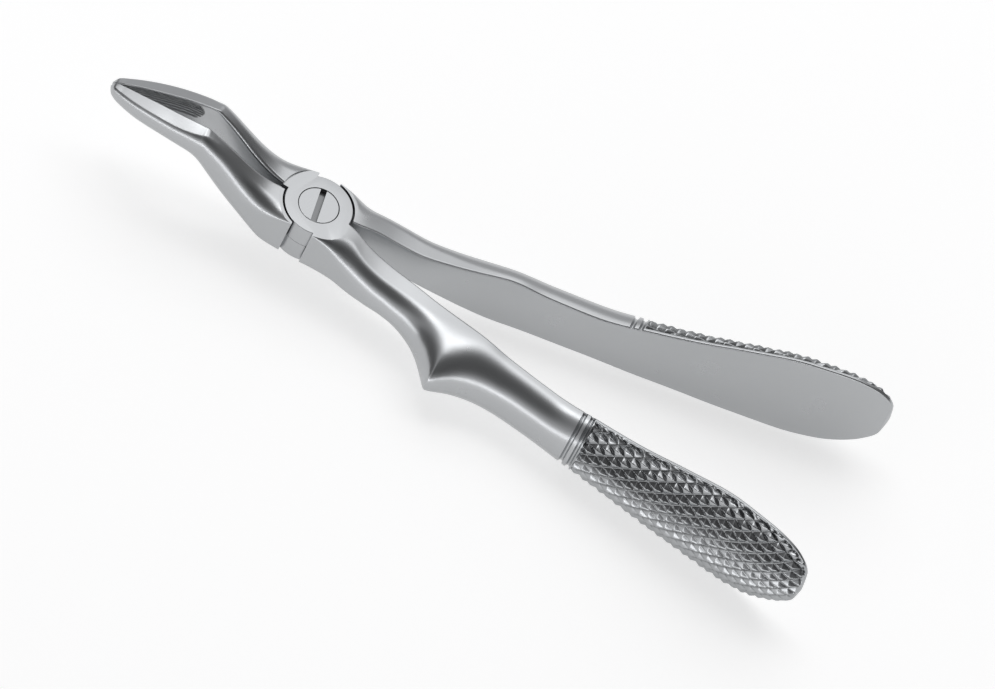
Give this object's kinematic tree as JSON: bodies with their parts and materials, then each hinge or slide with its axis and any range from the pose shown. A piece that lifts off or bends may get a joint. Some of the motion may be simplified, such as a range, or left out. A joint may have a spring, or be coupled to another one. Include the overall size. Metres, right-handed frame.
{
  "type": "extraction forceps",
  "caption": "Bayonet dental extraction forceps with slim pointed beaks, a screw lap joint, a finger spur and knurled grips.",
  "frame": {"origin": "on the pivot axis, in the flat back face of the joint", "axes": "+X along the instrument towards the handle ends, +Z along the pivot axis towards the screw's head, Y the direction in which the handles open"},
  "size_m": [0.1743, 0.0544, 0.0266],
  "materials": {
    "satin_steel": "satin",
    "screw_steel": "satin"
  },
  "bodies": {
    "lower": {"lower_half": "satin_steel", "pivot_screw": "screw_steel"},
    "upper": {"upper_half": "satin_steel"}
  },
  "joints": [
    {"name": "pivot", "type": "hinge", "parent": "lower", "child": "upper", "pos_m": [0, 0, 0.005], "axis": [0, 0, -1], "range_deg": [0, 30]}
  ]
}
